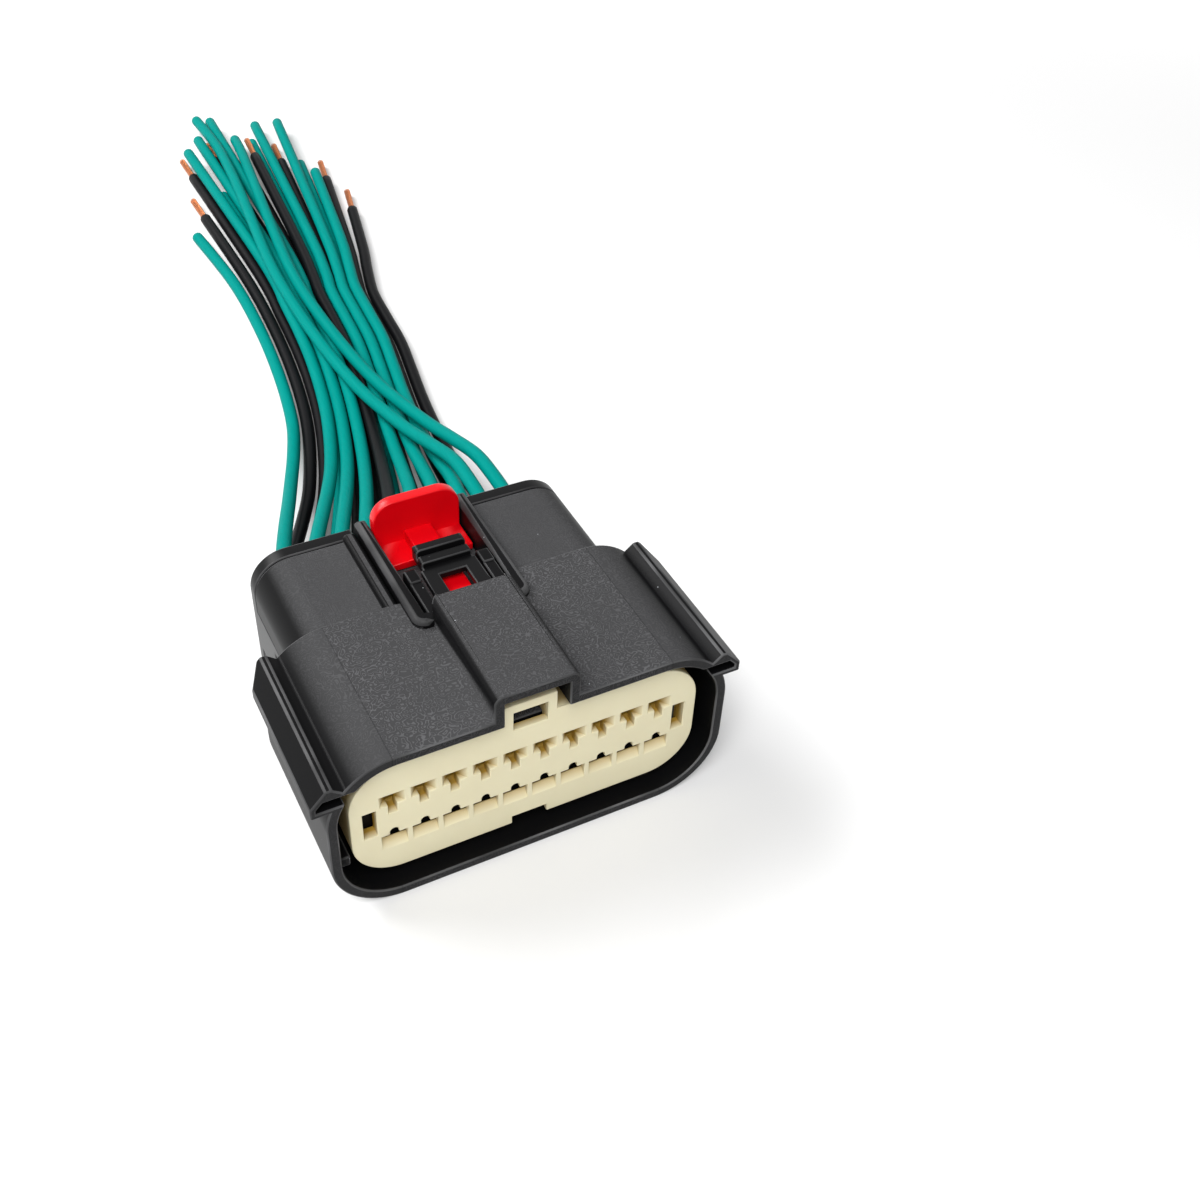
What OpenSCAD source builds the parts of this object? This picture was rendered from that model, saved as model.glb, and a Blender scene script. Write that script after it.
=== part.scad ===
// Sealed two-row wire-to-wire connector, receptacle half, with its cut wires.
// X runs along the contact rows, -Y is the mating face, +Y the wire side, Z is up.

/* [Contacts] */
// Distance between neighbouring contacts in a row
pitch = 3.5; // [3.3:0.1:4]
// Distance between the two rows
row_gap = 5.8; // [5.4:0.1:6.6]
// Width of a contact's box
box_w = 2.1; // [1.8:0.1:2.2]
// Height of a contact's box
box_h = 2.3; // [1.9:0.1:2.6]
// Length of a contact's box
box_l = 8.5; // [7:0.5:9]
// Sheet thickness of a contact
sheet_t = 0.3; // [0.2:0.05:0.35]
// Width of the blade slot in a contact
blade_w = 1.5; // [1.2:0.1:1.6]
// Height of the blade slot in a contact
blade_h = 0.8; // [0.6:0.1:1]
// Length of the crimp on the strands
strand_crimp_l = 3.5; // [2.5:0.5:4]
// Length of the crimp on the insulation
grip_crimp_l = 3.6; // [2.5:0.1:4]

/* [Core] */
// Core beyond the end contacts, sideways
core_side = 3.25; // [3:0.05:4]
// Core above and below the rows
core_cap = 3.8; // [3.4:0.1:4.4]
// Corner radius of the core
core_r = 4.2; // [3:0.1:5]
// Play of a contact in its cavity, each side
contact_play = 0.1; // [0.05:0.05:0.15]
// Length of the square part of a cavity
cavity_l = 11; // [10.5:0.5:12]

/* [Retainer] */
// Thickness of the retainer's face
face_t = 1.6; // [1.2:0.1:2.2]
// Thickness of the retainer's side wall
retainer_wall = 1.4; // [1.2:0.1:1.6]
// Depth of the retainer
retainer_l = 7; // [5.5:0.5:7.5]
// Play between the retainer and the core
retainer_play = 0.1; // [0.05:0.05:0.2]
// Recess of the retainer's face behind the skirt's rim
face_recess = 1.6; // [1:0.1:2.4]
// Width of a funnel at the face
funnel_w = 2.9; // [2.4:0.1:3]
// Width of a test slot
slot_w = 1; // [0.8:0.1:1.2]
// Width of the two end slots
end_slot_w = 1.5; // [1:0.1:2]
// Height of the two end slots
end_slot_h = 4; // [3:0.1:5]
// Width of the key block on the retainer's top
key_w = 6.1; // [5:0.1:6.4]
// Rise of the key block above the retainer
key_rise = 2.6; // [2.2:0.1:3]
// Depth of the key block
key_l = 1; // [0.8:0.1:1.6]
// Width of the key block's window
key_window_w = 4; // [3:0.1:4.4]
// Height of the key block's window
key_window_h = 2.6; // [2:0.1:3]
// Thickness of the shelf between the rows
shelf_t = 3; // [2.6:0.1:3]
// Reach of the shelf behind the retainer's face
shelf_l = 6; // [4:0.5:6.5]
// Length of the slot in the retainer's top behind the key block
key_slot_l = 5; // [3:0.5:6]
// Width of the notch under the retainer
notch_w = 4.2; // [3:0.1:6]
// Height of the notch under the retainer
notch_h = 1.1; // [0.6:0.1:1.1]

/* [Skirt] */
// Gap for the mating shell round the retainer
mate_gap = 1.65; // [1.5:0.05:2]
// Thickness of the skirt
skirt_wall = 1.2; // [1:0.1:1.4]
// Length of the skirt
skirt_l = 20.7; // [20:0.1:24]
// Corner radius of the skirt
skirt_r = 8; // [6:0.5:8.5]
// Thickness of the skirt's back web
web_t = 1.5; // [1.2:0.1:2]
// Reach of the side keyways beyond the skirt
rail_out = 1.4; // [1:0.1:2]
// Drop of the keyway's top below the skirt's top
rail_drop = 1.6; // [1.4:0.1:2]
// Height of the keyway
rail_h = 3.4; // [3:0.1:4]
// Thickness of the keyway's wall
rail_wall = 0.65; // [0.6:0.05:0.8]
// Height of the keyway's upright outer face
rail_lip = 1.4; // [1.2:0.1:1.6]
// Chamfer at the keyway's rear end
rail_chamfer = 2.4; // [1:0.2:3]
// Reach of the guide rib inside the skirt
rib_out = 1.2; // [0.6:0.1:1.3]
// Height of the guide rib inside the skirt
rib_h = 1.4; // [1:0.1:2]

/* [Bridge] */
// Width of the bridge over the latch
bridge_w = 9.8; // [9.6:0.1:11]
// Rise of the bridge above the skirt
bridge_rise = 3.4; // [3.2:0.1:4.4]
// Thickness of the bridge
bridge_wall = 1.2; // [1:0.1:1.3]
// Length of the bridge
bridge_l = 17.1; // [16:0.1:18]
// Edge radius of the bridge
bridge_r = 1.1; // [0.6:0.1:1.6]
// Radius of the bridge's rear corners, seen from above
bridge_plan_r = 1.2; // [0.6:0.1:1.2]

/* [Rear section] */
// Length of the rear section
rear_l = 13.4; // [12.8:0.1:16]
// Step down from the skirt to the rear section
rear_step = 1; // [0.6:0.1:1.4]
// Corner radius of the rear section
rear_r = 4.5; // [3:0.1:5.5]
// Wall round the wire seal's pocket
pocket_wall = 1.6; // [1.5:0.1:2.4]
// Width of the latch bay
bay_w = 11; // [10.8:0.1:12]
// Depth of the latch bay below the skirt's top
bay_depth = 3; // [2.6:0.1:3.2]
// Thickness of the bay's side walls
bay_wall = 1.45; // [1:0.05:1.8]
// Rise of the bay's side walls above the skirt
bay_rise = 1; // [0.6:0.1:1.4]
// Width of the bar beside the bay
bar_w = 1.5; // [1:0.1:2]
// Gap between the bar and the bay wall
bar_gap = 0.2; // [0.15:0.05:0.4]
// Edge radius of the bar
bar_r = 0.5; // [0.3:0.1:0.5]

/* [Rear cover] */
// Thickness of the rear cover
cover_t = 1.7; // [1.4:0.1:2.4]
// Groove between the rear cover and the housing
cover_gap = 0.2; // [0.1:0.05:0.3]
// Width of the cover's snap arms
arm_w = 6; // [4:0.5:8]
// Length of the cover's snap arms
arm_l = 11; // [9:0.5:12]
// Thickness of the cover's snap arms
arm_t = 0.8; // [0.6:0.1:1]
// Play round the cover's snap arms
arm_play = 0.15; // [0.1:0.05:0.25]
// Play round a wire in the rear cover
cover_play = 0.35; // [0.2:0.05:0.5]

/* [Seals] */
// Length of the ring seal
ring_l = 5; // [4:0.2:5.2]
// Thickness of the ring seal's band
ring_t = 0.9; // [0.7:0.1:1.1]
// Height of the ring seal's lips
lip_h = 0.6; // [0.4:0.1:0.7]
// Width of one lip at its foot
lip_w = 1; // [0.8:0.1:1.2]
// Thickness of the wire seal
mat_t = 6; // [5:0.2:6.4]
// Wire seal beyond the outer wires
mat_side = 2.2; // [2:0.1:2.8]
// Play of a seal against its seat
seal_play = 0.05; // [0.03:0.01:0.1]

/* [Lock slider] */
// Height of the slider's push plate above the skirt
plate_rise = 4; // [3:0.1:5]
// Thickness of the push plate
plate_t = 1.4; // [1:0.1:1.8]
// Corner radius of the push plate
plate_r = 2.6; // [1:0.1:3.4]
// Thickness of the slider's floor
slider_t = 1; // [0.8:0.1:1.2]
// Width of the slider's tongue
tongue_w = 3.4; // [2.6:0.1:4]
// Play round the slider
slider_play = 0.15; // [0.1:0.05:0.25]
// Travel of the slider into lock
slider_travel = 4; // [3:0.5:4.5]

/* [Latch] */
// Width of the latch
latch_w = 6.6; // [6:0.1:6.8]
// Width of the latch's window
window_w = 3.2; // [2.4:0.1:3.6]
// Length of the latch's window
window_l = 4.2; // [3:0.1:4.6]
// Thickness of the latch
latch_t = 0.9; // [0.7:0.1:0.9]
// Width of the thumb bars
thumb_w = 6; // [5:0.1:6.6]
// Length of each thumb bar
thumb_l = 1.4; // [1:0.1:1.6]
// Height of the thumb bars above the latch
thumb_h = 1.1; // [0.8:0.1:1.4]
// Width of the latch's nose beam
nose_w = 5.2; // [4:0.1:5.6]
// Diameter of the torsion bars
torsion_d = 0.9; // [0.7:0.1:0.9]

/* [Wires] */
// Outer diameter of a wire
wire_d = 1.9; // [1.7:0.1:1.9]
// Diameter of the bare strands
strand_d = 1.1; // [0.8:0.1:1.2]

/* [Hidden] */
$fn = 48;
ways = 10;
rows = 2;
edge = 0.01;
circuits = ways * rows;
function two_digits(n) = str(n < 10 ? "0" : "", n);
function names(stem) = [for (n = [1 : circuits]) str(stem, two_digits(n))];

// Cross sections, each worked outwards from the contacts
span = (ways - 1) * pitch;
core_w = span + 2 * core_side;
core_h = row_gap + 2 * core_cap;
retainer_w = core_w + 2 * (retainer_wall + retainer_play);
retainer_h = core_h + 2 * (retainer_wall + retainer_play);
retainer_r = core_r + retainer_wall;
skirt_in_w = retainer_w + 2 * mate_gap;
skirt_in_h = retainer_h + 2 * mate_gap;
skirt_w = skirt_in_w + 2 * skirt_wall;
skirt_h = skirt_in_h + 2 * skirt_wall;
mid_z = skirt_h / 2;
mat_w = span + 2 * mat_side;
mat_h = row_gap + 2 * mat_side;
mat_r = mat_side;
rear_w = mat_w + 2 * (seal_play + pocket_wall);
rear_h = skirt_h - 2 * rear_step;

// Stations along Y, from the rim to the rear cover
total_l = skirt_l + rear_l + cover_gap + cover_t;
front_y = -total_l / 2;
face_y = front_y + face_recess;
core_y = face_y + face_t + retainer_play;
retainer_rear_y = face_y + retainer_l;
step_y = front_y + skirt_l;
web_y = step_y - web_t;
rear_y = step_y + rear_l;
end_y = total_l / 2;
bridge_rear_y = front_y + bridge_l;
pocket_y = rear_y - mat_t;
ring_y = retainer_rear_y + mate_gap / 2;
stop_y = ring_y + ring_l + seal_play;

// Contacts: the box, its crimps and the cavity round them
contact_set = 2;
contact_y = core_y + contact_set;
strand_crimp_y = contact_y + box_l;
grip_crimp_y = strand_crimp_y + strand_crimp_l;
wire_r = wire_d / 2;
grip_play = 0.05;
grip_in_r = wire_r + grip_play;
grip_out_r = grip_in_r + sheet_t;
bore_r = grip_out_r + contact_play;
function contact_x(i) = -span / 2 + (i % ways) * pitch;
function contact_z(i) = mid_z + (i < ways ? row_gap : -row_gap) / 2;

// Latch bay, bridge tunnel, slider and latch heights
bay_z = skirt_h - bay_depth;
bay_out_w = bay_w + 2 * bay_wall;
bar_x = bay_out_w / 2 + bar_gap + bar_w / 2;
tunnel_w = bridge_w - 2 * bridge_wall;
tunnel_z = skirt_h + bridge_rise - bridge_wall;
slider_w = bay_w - 2 * slider_play;
slider_z = bay_z + slider_play;
slider_top = slider_z + slider_t;
plate_y = rear_y - plate_t - slider_play;
beam_gap = 0.4;
beam_w = (bay_w - latch_w) / 2 - 2 * beam_gap;
beam_x = bay_w / 2 - beam_gap - beam_w;
beam_l = 7.4;
beam_r = 0.8;
knuckle_l = 2.6;
knuckle_rise = 0.2;
latch_drop = 1;
latch_z = tunnel_z - latch_drop - latch_t;
latch_top = latch_z + latch_t;
pivot_set = 1.5;
pivot_y = bridge_rear_y + pivot_set;
pivot_z = latch_z + latch_t / 2;
window_set = 0.8;
window_y = bridge_rear_y + window_set;
frame_bar = 1.3;
frame_rear_y = window_y + window_l + frame_bar;
thumb_gap = 0.3;
thumb_step = 0.6;
thumb_y = frame_rear_y + thumb_gap;
nose_set = 3.8;
nose_y = face_y + key_l + nose_set;
nose_hook_l = 1.4;
nose_hook_h = 1.2;
tongue_gap = 0.8;
tongue_z = latch_z - tongue_gap;
tongue_t = 0.8;
tongue_reach = 0.6;
tongue_y = bridge_rear_y - tongue_reach;

// Keyway: the peak, the slant outside it, the slope inside it and the floor
rail_top_z = skirt_h - rail_drop;
rail_x = skirt_w / 2 + rail_out;
rail_slant = 1.8;
rail_flat = 0.65;
rail_root = [1.7, 1.4];
rail_dip = 0.75;
rail_peak_x = rail_x - rail_slant;
rail_flat_x = rail_peak_x - rail_flat;
rail_low_z = rail_top_z - rail_h;
rail_corner_z = rail_low_z + rail_lip;

// Guide rib inside the skirt: behind the rim, below the middle
rib_set = 1;
rib_drop = 3.55;

// Shelf of the retainer in its slot in the core
shelf_play = 0.2;
shelf_side = 0.2;
shelf_w = span + box_w + 2 * contact_play + 2 * shelf_side;

// Lug on the housing's side that the rear cover's arm snaps over
lug_l = 1.6;
lug_y = rear_y + cover_gap - arm_l + 3 * lug_l;

// Slot behind the key block, cut a little into the top of the face
key_slot_dip = 0.55;

// Openings in the retainer's face: depth of the funnels, heights from the contact's middle
funnel_share = 0.8;
funnel_y = face_y + face_t * funnel_share;
upper_top = 0.9;
upper_wide = -0.7;
upper_slot = -2;
lower_top = 1.25;
lower_wide = 0.4;
lower_slot = -0.5;
lower_ramp = -1.8;
lower_y = face_y + face_t / 2;
relief_share = 0.48;
relief_y = face_y + face_t * relief_share;
relief_low = -1.6;
relief_w = span + funnel_w;

// A rectangle with round corners, centred on the origin
module round_rect(w, h, r) {
    square([w - 2 * r, h], center = true);
    square([w, h - 2 * r], center = true);
    for (x = [-1, 1], y = [-1, 1])
        translate([x * (w / 2 - r), y * (h / 2 - r)]) circle(r);
}

// A section drawn in X and Z, pushed from y0 to y1
module along_y(y0, y1) {
    translate([0, y1, 0]) rotate([90, 0, 0]) linear_extrude(y1 - y0) children();
}

// A section drawn in Y and Z, pushed from x0 to x1
module along_x(x0, x1) {
    translate([x0, 0, 0]) rotate([90, 0, 90]) linear_extrude(x1 - x0) children();
}

// A round-cornered section at mid height, pushed from y0 to y1
module bar_y(y0, y1, w, h, r) {
    along_y(y0, y1) translate([0, mid_z]) round_rect(w, h, r);
}

// A box given by its two corners
module span_box(low, high) {
    translate(low) cube(high - low);
}

// A shape that is the same on both sides of the middle, from the points of its right side upwards
module twin_sided(right) {
    n = len(right);
    polygon(concat(right, [for (k = [1 : n]) [-right[n - k][0], right[n - k][1]]]));
}

// Section of the two keyways as one band across the skirt
module rail_band() {
    twin_sided([
        [rail_x, rail_low_z],
        [rail_x, rail_corner_z],
        [rail_peak_x, rail_top_z],
        [rail_flat_x, rail_top_z],
        [rail_flat_x - rail_root[0], rail_top_z - rail_root[1]]
    ]);
}

// Hollow of the two keyways, one wall inside the band
module rail_hollow() {
    out = [rail_top_z - rail_corner_z, rail_slant] / norm([rail_top_z - rail_corner_z, rail_slant]);
    top_z = rail_top_z - rail_dip - rail_wall;
    twin_sided([
        [rail_x - rail_wall, rail_low_z + rail_wall],
        [rail_x - rail_wall, rail_corner_z - rail_wall * (1 - out[0]) / out[1]],
        [rail_x - (rail_wall + out[1] * (top_z - rail_corner_z)) / out[0], top_z]
    ]);
}

module both_sides() {
    children();
    mirror([1, 0, 0]) children();
}

module skirt_section() {
    translate([0, mid_z]) round_rect(skirt_w, skirt_h, skirt_r);
    rail_band();
}

module skirt_hollow() {
    translate([0, mid_z]) round_rect(skirt_in_w, skirt_in_h, skirt_r - skirt_wall);
    rail_hollow();
}

// Cut that slants the rear end of a keyway
module rail_end_cut() {
    translate([rail_x - rail_out, step_y, rail_low_z - edge])
        rotate([0, 0, atan2(-rail_chamfer, rail_out)])
            cube([3 * rail_out, 3 * rail_chamfer, rail_h + 2 * edge]);
}

module bridge_section() {
    rise = bridge_rise + skirt_wall;
    translate([-bridge_w / 2, skirt_h - skirt_wall]) square([bridge_w, rise - bridge_r]);
    translate([bridge_r - bridge_w / 2, skirt_h - skirt_wall]) square([bridge_w - 2 * bridge_r, rise]);
    for (x = [-1, 1])
        translate([x * (bridge_w / 2 - bridge_r), skirt_h + bridge_rise - bridge_r]) circle(bridge_r);
}

// Plan of the bridge, with round corners at the rear
module bridge_plan() {
    translate([-bridge_w / 2, front_y]) square([bridge_w, bridge_l - bridge_plan_r]);
    translate([bridge_plan_r - bridge_w / 2, front_y]) square([bridge_w - 2 * bridge_plan_r, bridge_l]);
    for (x = [-1, 1])
        translate([x * (bridge_w / 2 - bridge_plan_r), bridge_rear_y - bridge_plan_r])
            circle(bridge_plan_r);
}

module bridge() {
    intersection() {
        along_y(front_y, bridge_rear_y) bridge_section();
        along_z(skirt_h - skirt_wall, skirt_h + bridge_rise) bridge_plan();
    }
}

// The bar along the rear section's top on one side of the bay, level with the skirt
module crest_bar() {
    rise = 2 * rear_step;
    along_y(step_y - edge, rear_y) translate([-bar_x, skirt_h - rise]) {
        translate([-bar_w / 2, 0]) square([bar_w, rise - bar_r]);
        translate([bar_r - bar_w / 2, 0]) square([bar_w - 2 * bar_r, rise]);
        for (x = [-1, 1]) translate([x * (bar_w / 2 - bar_r), rise - bar_r]) circle(bar_r);
    }
}

// Plan of the bay's wall, open at the rear
module bay_wall_plan() {
    translate([-bay_out_w / 2, bridge_rear_y])
        square([bay_out_w, rear_y + cover_t / 2 - bridge_rear_y]);
    for (x = [-1, 1])
        translate([x * (bay_out_w / 2 - bay_wall), bridge_rear_y]) circle(bay_wall);
    translate([bay_wall - bay_out_w / 2, bridge_rear_y - bay_wall])
        square([bay_out_w - 2 * bay_wall, bay_wall]);
}

// One fixed beam beside the latch, rounded over at its rear end
module latch_beam() {
    along_x(beam_x, beam_x + beam_w) {
        translate([bridge_rear_y - edge, bay_z - edge])
            square([beam_l - beam_r, latch_top - bay_z - beam_r]);
        translate([bridge_rear_y - edge, latch_z])
            square([beam_l - beam_r, latch_t - knuckle_rise]);
        translate([bridge_rear_y + beam_l - knuckle_l, latch_z])
            square([knuckle_l - beam_r - edge, latch_t]);
        translate([bridge_rear_y + beam_l - 2 * beam_r, bay_z - edge])
            square([2 * beam_r, latch_top - bay_z - beam_r]);
        translate([bridge_rear_y + beam_l - beam_r - edge, latch_top - beam_r]) circle(beam_r);
    }
}

// Recess for the rear cover's arm, and the lug in it that the arm snaps over
module snap_recess() {
    span_box([rear_w / 2 - arm_t - arm_play, rear_y - arm_l - arm_play, mid_z - arm_w / 2 - arm_play],
             [rear_w / 2 + edge, rear_y + edge, mid_z + arm_w / 2 + arm_play]);
}

module snap_lug() {
    along_z(mid_z - arm_w / 4, mid_z + arm_w / 4)
        polygon([[rear_w / 2 - arm_t - arm_play - edge, lug_y - lug_l],
                 [rear_w / 2, lug_y - lug_l],
                 [rear_w / 2 - arm_t - arm_play - edge, lug_y]]);
}

// A section drawn in X and Y, pushed from z0 to z1
module along_z(z0, z1) {
    translate([0, 0, z0]) linear_extrude(z1 - z0) children();
}

// Guide rib along one inner side of the skirt, from behind the rim to the web
module guide_rib() {
    span_box([-(skirt_in_w + skirt_wall) / 2, front_y + rib_set, mid_z - rib_drop - rib_h / 2],
             [rib_out - skirt_in_w / 2, step_y - edge, mid_z - rib_drop + rib_h / 2]);
}

// Slot in the core's nose for the retainer's shelf
module shelf_slot() {
    span_box([-shelf_w / 2 - shelf_play, core_y - edge, mid_z - shelf_t / 2 - shelf_play],
             [shelf_w / 2 + shelf_play, face_y + shelf_l + shelf_play, mid_z + shelf_t / 2 + shelf_play]);
}

module contact_cavities() {
    for (i = [0 : circuits - 1]) translate([contact_x(i), 0, contact_z(i)]) {
        w = box_w + 2 * contact_play;
        h = box_h + 2 * contact_play;
        span_box([-w / 2, core_y - edge, -h / 2], [w / 2, core_y + cavity_l, h / 2]);
        translate([0, core_y + cavity_l - edge, 0]) rotate([-90, 0, 0])
            cylinder(r = bore_r, h = pocket_y - core_y - cavity_l + 2 * edge);
    }
}

// The one-piece housing: skirt, core, rear section, bridge and bay walls
module housing() {
    color("#2b2b2d") difference() {
        union() {
            difference() {
                union() {
                    along_y(front_y, step_y) skirt_section();
                    bridge();
                    bar_y(step_y - edge, rear_y, rear_w, rear_h, rear_r);
                    along_z(bay_z - edge, skirt_h + bay_rise) bay_wall_plan();
                    crest_bar();
                }
                along_y(front_y - edge, web_y) skirt_hollow();
                span_box([-tunnel_w / 2, front_y - edge, skirt_h - skirt_wall - edge],
                         [tunnel_w / 2, bridge_rear_y + edge, tunnel_z]);
                span_box([-bay_w / 2, bridge_rear_y, bay_z],
                         [bay_w / 2, end_y + edge, skirt_h + bridge_rise + edge]);
                both_sides() rail_end_cut();
                both_sides() snap_recess();
            }
            bar_y(core_y, step_y, core_w, core_h, core_r);
            bar_y(stop_y, step_y, core_w + 2 * ring_t, core_h + 2 * ring_t, core_r + ring_t);
            both_sides() latch_beam();
            guide_rib();
            both_sides() snap_lug();
        }
        contact_cavities();
        shelf_slot();
        bar_y(pocket_y, rear_y + edge, mat_w + 2 * seal_play, mat_h + 2 * seal_play, mat_r + seal_play);
    }
}

// The latch: nose beam with its hook, window frame, thumb bars and torsion bars
module latch_lever() {
    color("#242426") {
        difference() {
            union() {
                span_box([-latch_w / 2, bridge_rear_y + slider_play, latch_z],
                         [latch_w / 2, frame_rear_y, latch_top]);
                span_box([-nose_w / 2, nose_y, latch_z],
                         [nose_w / 2, bridge_rear_y + 2 * slider_play, latch_top]);
                span_box([-thumb_w / 2, frame_rear_y - edge, latch_z],
                         [thumb_w / 2, thumb_y + 2 * thumb_l + thumb_gap, latch_top]);
                thumb_bar(thumb_y, thumb_h * thumb_step);
                thumb_bar(thumb_y + thumb_l + thumb_gap, thumb_h);
                along_x(-nose_w / 2, nose_w / 2)
                    polygon([[nose_y, latch_z + edge],
                             [nose_y + nose_hook_l, latch_z - nose_hook_h],
                             [nose_y + 2 * nose_hook_l, latch_z - nose_hook_h],
                             [nose_y + 2 * nose_hook_l, latch_z + edge]]);
                both_sides() translate([0, pivot_y, pivot_z]) rotate([0, 90, 0])
                    cylinder(d = torsion_d, h = beam_x - grip_play);
            }
            span_box([-window_w / 2, window_y, latch_z - edge],
                     [window_w / 2, window_y + window_l, latch_top + edge]);
        }
    }
}

// One raised bar across the thumb pad, round along its top rear edge and at its two top corners
module thumb_bar(y, rise) {
    r = rise / 2;
    intersection() {
        along_x(-thumb_w / 2, thumb_w / 2) {
            translate([y, latch_top - edge]) square([thumb_l, rise - r + edge]);
            translate([y, latch_top]) square([thumb_l - r, rise]);
            translate([y + thumb_l - r, latch_top + rise - r]) circle(r);
        }
        along_y(y - edge, y + thumb_l + edge) translate([0, latch_top]) {
            translate([-thumb_w / 2, -edge]) square([thumb_w, rise - r + edge]);
            translate([r - thumb_w / 2, -edge]) square([thumb_w - 2 * r, rise + edge]);
            for (x = [-1, 1]) translate([x * (thumb_w / 2 - r), rise - r]) circle(r);
        }
    }
}

// Funnel and test slot of an upper contact, cut through the retainer's face
module upper_opening() {
    along_z(upper_wide, upper_top)
        polygon([[-funnel_w / 2, face_y - edge], [funnel_w / 2, face_y - edge],
                 [slot_w / 2, funnel_y], [-slot_w / 2, funnel_y]]);
    span_box([-slot_w / 2, face_y - edge, upper_slot], [slot_w / 2, face_y + face_t + edge, upper_top]);
}

// Ramp and test slot of a lower contact, cut through the retainer's face
module lower_opening() {
    along_x(-funnel_w / 2, funnel_w / 2)
        polygon([[face_y - edge, lower_ramp], [lower_y, lower_slot],
                 [lower_y, lower_wide], [face_y - edge, lower_wide]]);
    along_y(face_y - edge, face_y + face_t + edge) {
        translate([-slot_w / 2, lower_slot]) square([slot_w, lower_top - lower_slot - slot_w / 2]);
        translate([0, lower_top - slot_w / 2]) circle(slot_w / 2);
    }
}

// The cream retainer: a cap over the core's nose with one opening for each contact
module terminal_retainer() {
    top_z = mid_z + retainer_h / 2;
    color("#efe6c8") difference() {
        union() {
            difference() {
                bar_y(face_y, retainer_rear_y, retainer_w, retainer_h, retainer_r);
                bar_y(face_y + face_t, retainer_rear_y + edge, core_w + 2 * retainer_play,
                      core_h + 2 * retainer_play, core_r);
            }
            span_box([-key_w / 2, face_y, top_z - retainer_wall],
                     [key_w / 2, face_y + key_l, top_z + key_rise]);
            span_box([-shelf_w / 2, face_y + face_t - edge, mid_z - shelf_t / 2],
                     [shelf_w / 2, face_y + shelf_l, mid_z + shelf_t / 2]);
        }
        translate([0, 0, contact_z(ways)])
            span_box([-relief_w / 2, relief_y, relief_low],
                     [relief_w / 2, face_y + face_t + edge, lower_top]);
        for (i = [0 : ways - 1]) translate([contact_x(i), 0, contact_z(i)]) upper_opening();
        for (i = [ways : circuits - 1]) translate([contact_x(i), 0, contact_z(i)]) lower_opening();
        for (x = [-1, 1]) translate([x * (retainer_w / 2 - retainer_wall - end_slot_w / 2), 0, mid_z])
            span_box([-end_slot_w / 2, face_y - edge, -end_slot_h / 2],
                     [end_slot_w / 2, face_y + face_t + edge, end_slot_h / 2]);
        span_box([-key_window_w / 2, face_y - edge, top_z + key_rise - skirt_wall - key_window_h],
                 [key_window_w / 2, face_y + key_l + edge, top_z + key_rise - skirt_wall]);
        span_box([-key_window_w / 2, face_y + key_l, top_z - retainer_wall - key_slot_dip],
                 [key_window_w / 2, face_y + key_slot_l, top_z + edge]);
        span_box([-notch_w / 2, face_y - edge, mid_z - retainer_h / 2 - edge],
                 [notch_w / 2, retainer_rear_y + edge, mid_z - retainer_h / 2 + notch_h]);
    }
}

// The red slider: a round-topped push plate, a floor and a tongue under the latch
module lock_slider() {
    plate_h = skirt_h + plate_rise - slider_z;
    color("#d3141c") {
        along_y(plate_y, plate_y + plate_t) translate([0, slider_z]) {
            translate([-slider_w / 2, 0]) square([slider_w, plate_h - plate_r]);
            translate([plate_r - slider_w / 2, 0]) square([slider_w - 2 * plate_r, plate_h]);
            for (x = [-1, 1]) translate([x * (slider_w / 2 - plate_r), plate_h - plate_r]) circle(plate_r);
        }
        floor_y = bridge_rear_y + beam_l + slider_play + slider_travel;
        span_box([-slider_w / 2, floor_y, slider_z], [slider_w / 2, plate_y + edge, slider_top]);
        span_box([-tongue_w / 2, web_y + slider_travel, slider_z],
                 [tongue_w / 2, plate_y + edge, tongue_z]);
        span_box([-tongue_w / 2, tongue_y, tongue_z - tongue_t],
                 [tongue_w / 2, plate_y, tongue_z]);
    }
}

// The ring seal: a band round the core with three lips
module ring_seal() {
    lips = 3;
    lip_step = ring_l / lips;
    inner = 2 * seal_play;
    band = 2 * (ring_t + seal_play);
    color("#3a4a7a") difference() {
        union() {
            bar_y(ring_y, ring_y + ring_l, core_w + band, core_h + band, core_r + ring_t);
            for (k = [0 : lips - 1]) {
                y = ring_y + (k + 0.5) * lip_step;
                bar_y(y - lip_w / 2, y + lip_w / 2, core_w + band + 2 * lip_h, core_h + band + 2 * lip_h,
                      core_r + ring_t + lip_h);
            }
        }
        bar_y(ring_y - edge, ring_y + ring_l + edge, core_w + inner, core_h + inner, core_r + seal_play);
    }
}

module wire_holes(r, y0, y1) {
    for (i = [0 : circuits - 1]) translate([contact_x(i), y0, contact_z(i)])
        rotate([-90, 0, 0]) cylinder(r = r, h = y1 - y0);
}

// The soft mat that seals round every wire
module wire_seal() {
    color("#4a5a8a") difference() {
        bar_y(pocket_y, rear_y - seal_play, mat_w, mat_h, mat_r);
        wire_holes(wire_r + grip_play, pocket_y - edge, rear_y + edge);
    }
}

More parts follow.
